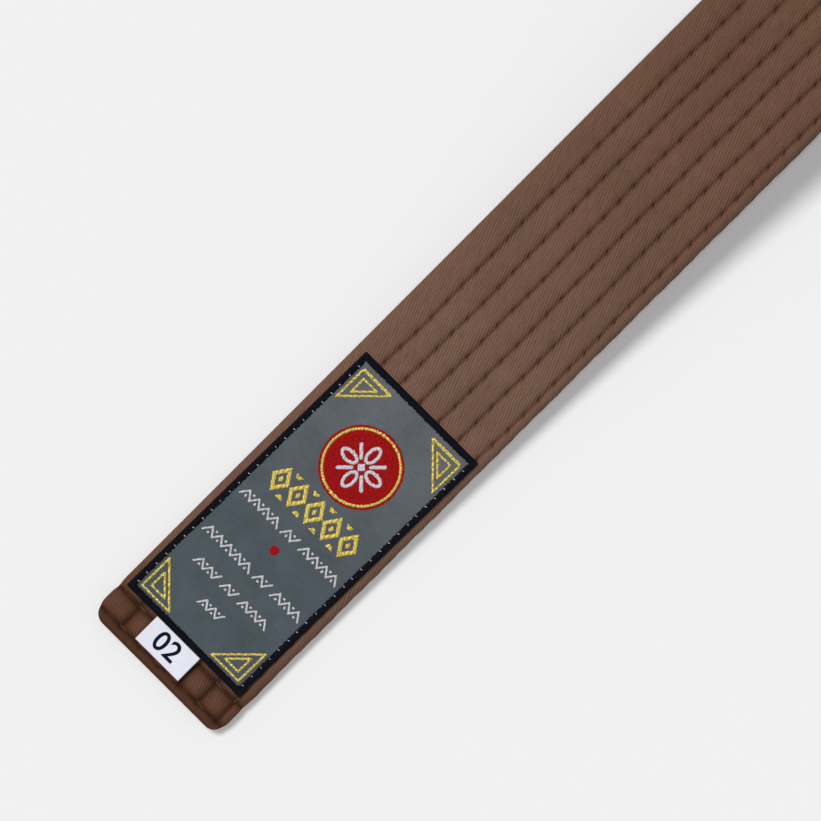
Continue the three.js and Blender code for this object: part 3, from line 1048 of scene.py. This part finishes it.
gold_yarn = thread_material(
    "gold_yarn", (150, 116, 34), (255, 236, 122), 0.38, 0.9, shine=0.5, metal=0.35,
)
red_yarn = thread_material("red_yarn", (136, 6, 8), (176, 16, 18), 0.7, 0.9)
pale_yarn = thread_material("pale_yarn", (178, 176, 182), (226, 222, 228), 0.7, 0.9)
weave_figure("label_figures_red", red_shape, red_yarn, 0.0)
weave_figure("label_figures_gold", gold_shape, gold_yarn, 0.02 * MM, longest=1.6, ragged=0.08)
weave_figure("label_figures_pale", pale_shape, pale_yarn, 0.01 * MM, ragged=0.05)


# ---- Label border --------------------------------------------------------------------------
# The label's raw edges are overcast in black: close loops of thread over the edge all the way
# round, lying on a flat black binding.

border_width = 1.42 * MM
border_turns = 0.30 * MM
overcast_width = 0.44 * MM
overcast_height = 0.34 * MM
overcast_taper = np.array([0.8, 1, 1, 1, 1, 0.7])
border_dice = np.random.default_rng(31)
black_thread = thread_material("black_thread", (6, 6, 10), (24, 25, 34), 0.8, shine=0.05)


def border_walk(inset, pitch):
    """Places round the label's edge, inset from it, and the way in from each."""
    left, right = label_near + inset, label_far - inset
    start, stop = label_start + inset, label_start + label_length - inset
    places = [
        (run, across, 0, way) for run in np.arange(start + pitch / 2, stop, pitch)
        for across, way in ((left, 1), (right, -1))
    ]
    places += [
        (run, across, way, 0) for across in np.arange(left + pitch / 2, right, pitch)
        for run, way in ((start, 1), (stop, -1))
    ]
    places = np.array(places)
    return places[:, 0], places[:, 1], places[:, 2:]


def edge_lines(walk, depth, lean, share):
    """Lines of thread that start at places round the label's edge and lean to one side."""
    runs, acrosses, inwards = walk
    sideways = inwards[:, ::-1]
    line_runs = runs[:, None] + inwards[:, :1] * depth * share + sideways[:, :1] * lean * share
    line_across = acrosses[:, None] + inwards[:, 1:] * depth * share + sideways[:, 1:] * lean * share
    return line_runs, line_across


def loop_faces(rings, columns):
    """Quads round a closed loop of closed rings."""
    ring, here = np.divmod(np.arange(rings * columns), columns)
    ring, following = ring * columns, (ring + 1) % rings * columns
    there = (here + 1) % columns
    return np.stack([ring + here, following + here, following + there, ring + there], -1).tolist()


walk = border_walk(0.0, border_turns)
count = len(walk[0])
depth = border_width * (1 + border_dice.uniform(-0.07, 0.09, count))[:, None]
lean = border_dice.uniform(-0.22, 0.30, count)[:, None] * MM
share = np.array([-0.06, 0.0, 0.12, 0.5, 0.86, 1.0])[None]
loop_height = np.array([-0.1, 0.3, 0.62, 0.72, 0.55, 0.28])[None] * MM
loop_height = loop_height + border_dice.uniform(-0.05, 0.05, (count, 1)) * MM
loop_runs, loop_across = edge_lines(walk, depth, lean, share)
loops = make_threads(
    "label_border_overcast", black_thread, on_label(loop_runs, loop_across, loop_height),
    face_of_strap(loop_runs), overcast_width, overcast_height, overcast_taper,
)
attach(loops, "label_end")
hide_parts("label_border")


def on_binding(way_in, around, height):
    """Round the label: around is 0 to 4, one for each side, and way_in starts at its edge."""
    left, right = label_near, label_far
    start, stop = label_start, label_start + label_length
    steps = np.arange(5)
    run = np.interp(around, steps, [start, stop, stop, start, start])
    run = run + way_in * np.interp(around, steps, [1, -1, -1, 1, 1])
    across = np.interp(around, steps, [left, left, right, right, left])
    across = across + way_in * np.interp(around, steps, [1, 1, -1, -1, 1])
    return on_label(run, across, height)


side_length = 0.04
around = np.concatenate([side + np.linspace(0, 1, 41)[:-1] for side in range(4)])[:, None]
profile_in = np.array([0.05, 0.05, 1.32, 1.32]) * MM
profile_high = np.array([-0.02, 0.5, 0.5, 0.36]) * MM
black_binding = satin_material("black_binding", (6, 6, 9), (22, 23, 30), 0.8)
binding = make_piece(
    "label_border_binding", black_binding, on_binding(profile_in, around, profile_high),
    loop_faces(len(around), len(profile_in)), around * side_length, profile_in, smooth=False,
)
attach(binding, "label_end")


# ---- Label sewing thread -------------------------------------------------------------------
# Grey thread that sews the label to the strap just inside the overcast edge. On the long sides
# each stitch shows as a short pale tick over the border.

grey_thread = thread_material("grey_thread", (120, 130, 140), (200, 208, 216), 0.7)
tick_inset = 0.85 * MM
tick_pitch = 2.9 * MM
tick_width = 0.24 * MM
tick_height = 0.2 * MM
tick_dice = np.random.default_rng(37)
walk = border_walk(tick_inset, tick_pitch)
on_long_side = np.abs(walk[2][:, 1]) > 0.5
runs, acrosses, inwards = [part[on_long_side] for part in walk]
count = len(runs)
runs = runs + tick_dice.uniform(-0.15, 0.15, count) * MM
tick_length = tick_dice.uniform(0.35, 0.7, count)[:, None] * MM
lean = tick_dice.uniform(0.0, 0.2, count)[:, None] * MM
tick_rise = np.array([0.45, 0.92, 0.95, 0.8, 0.35]) * MM
tick_runs, tick_across = edge_lines((runs, acrosses, inwards), tick_length, lean, np.linspace(0, 1, 5))
ticks = make_threads(
    "label_sewing_ticks", grey_thread, on_label(tick_runs, tick_across, tick_rise),
    face_of_strap(tick_runs), tick_width, tick_height, float_taper,
)
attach(ticks, "label_end")
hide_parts("label_sewing_thread")


# ---- Size tag ------------------------------------------------------------------------------
# A short white satin ribbon caught under the label's end, lying over the tip's pillows. Its size
# number is printed in black, and it can be flapped up.

tag_low, tag_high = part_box("size_tag")
tag_length = tag_high.x - tag_low.x
tag_width = tag_high.y - tag_low.y
tag_curl = 0.16 * MM
tag_wave = 0.05 * MM
ribbon_height = 0.28 * MM
print_height = 0.3 * MM


def on_tag(run, across, height):
    """Points on the ribbon: run from its free end in metres, across from its +Y side."""
    looseness = np.clip(1 - run / tag_length, 0, 1)
    curl = tag_curl * looseness ** 2
    wave = tag_wave * np.sin(across / tag_width * 2 * math.pi + 0.6)
    z = tag_low.z + height + curl + wave * looseness
    return np.stack(np.broadcast_arrays(tag_low.x + run, tag_high.y - across, z), axis=-1)


white_ribbon = satin_material("white_ribbon", (196, 198, 214), (236, 237, 246), 0.6, pitch=0.22)
tag = make_panel(
    "size_tag_ribbon", white_ribbon,
    np.linspace(0, tag_length, 25), np.linspace(0, tag_width, 41),
    0.0, ribbon_height, on_tag,
)
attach(tag, "size_tag")
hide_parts("size_tag")

digits_curve = bpy.data.curves.new("size_number", "FONT")
digits_curve.body = "02"
digits_curve.size = 6.6 * MM
digits_curve.align_x = "CENTER"
digits_curve.align_y = "CENTER"
digits_curve.space_character = 1.05
digits_curve.offset = 0.1 * MM
digits_curve.extrude = 0.02 * MM
digits_curve.resolution_u = 6
digits_object = bpy.data.objects.new("size_number_outline", digits_curve)
bpy.context.scene.collection.objects.link(digits_object)
bpy.context.view_layer.update()
digits_mesh = bpy.data.meshes.new_from_object(digits_object)
bpy.data.objects.remove(digits_object)
digits_place = np.empty(len(digits_mesh.vertices) * 3)
digits_mesh.vertices.foreach_get("co", digits_place)
digits_place = digits_place.reshape(-1, 3)
digits_run = tag_length * 0.5 + digits_place[:, 1]
digits_across = tag_width * 0.47 + digits_place[:, 0]
digits_points = on_tag(digits_run, digits_across, print_height + digits_place[:, 2])
digits_mesh.vertices.foreach_set("co", digits_points.ravel())
digits = bpy.data.objects.new("size_number_print", digits_mesh)
bpy.context.scene.collection.objects.link(digits)
black_print, tree, shader = material_named("black_print", {
    "Roughness": 0.9, "Specular IOR Level": 0.03,
})
spot = put(tree, "ShaderNodeTexCoord").outputs["Object"]
ink = ramp(tree, noise(tree, spot, 2500.0, 2.0), (0.0, (8, 10, 24)), (1.0, (26, 29, 48)))
tree.links.new(ink, shader.inputs["Base Color"])
digits_mesh.materials.clear()
digits_mesh.materials.append(black_print)
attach(digits, "size_tag")


# ---- Hank band -----------------------------------------------------------------------------
# A loop of dark knitted tape round the middle of the folded length, which it holds together. Its
# ribs run round the loop, and its two edges are rounded over.

band_low, band_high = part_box("hank_band")
band_thickness = 0.6 * MM
band_corner = 1.2 * MM
tape_rib = 1.1
tape_stitch = 0.8


def band_profile(inset):
    """The loop's outline across the strap, inset from its outer face, as (y, z) points."""
    left, right = band_low.y + inset, band_high.y - inset
    low, high = band_low.z + inset, band_high.z - inset
    radius = band_corner - inset
    points = []
    for centre_y, centre_z, start in (
        (right - radius, low + radius, -90), (right - radius, high - radius, 0),
        (left + radius, high - radius, 90), (left + radius, low + radius, 180),
    ):
        for degrees in np.linspace(start, start + 90, 7):
            turn = math.radians(degrees)
            points.append((centre_y + radius * math.cos(turn), centre_z + radius * math.sin(turn)))
    return np.array(points)


across_band = np.array([0, 0.02, 0.1, 0.25, 0.5, 0.75, 0.9, 0.98, 1.0])
edge_round = np.array([0.35, 0.1, 0, 0, 0, 0, 0, 0.1, 0.35]) * band_thickness
outer_rows = [band_profile(inset) for inset in edge_round]
inner_rows = [band_profile(band_thickness - inset * 0.6) for inset in edge_round[::-1]]
band_x = band_low.x + across_band * (band_high.x - band_low.x)
section = [(x, row) for x, row in zip(band_x, outer_rows)]
section += [(x, row) for x, row in zip(band_x[::-1], inner_rows)]
points = np.array([
    [(x, row[step, 0], row[step, 1]) for x, row in section] for step in range(len(outer_rows[0]))
])
flat_row = outer_rows[4]
walk = np.concatenate([[0], np.cumsum(np.hypot(*np.diff(flat_row, axis=0).T))])
dark_tape, tree, shader = material_named("dark_tape", {"Roughness": 0.85})
place = cloth_place_mm(tree)
parts = parts_of(tree, place)
rib = ridges(tree, parts["Y"], math.pi / tape_rib)
knit = ridges(tree, parts["X"], math.pi / tape_stitch)
relief = maths(tree, "MULTIPLY_ADD", knit, 0.3, rib)
fuzz = maths(tree, "MULTIPLY", noise(tree, place, 2.0, 3.0), 0.4)
tone = maths(tree, "MULTIPLY_ADD", relief, 0.45, fuzz)
dark = ramp(tree, tone, (0.0, (20, 20, 23)), (1.0, (60, 60, 66)))
finish_surface(tree, shader, dark, relief, 0.6, 0.2 * MM)
band = make_piece(
    "hank_band_tape", dark_tape, points, loop_faces(*points.shape[:2]),
    walk[:, None], np.array([x - band_low.x for x, _ in section]),
)
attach(band, "folded_length")
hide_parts("hank_band")


[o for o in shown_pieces() if "thread" in o.name and "label_" not in o.name]
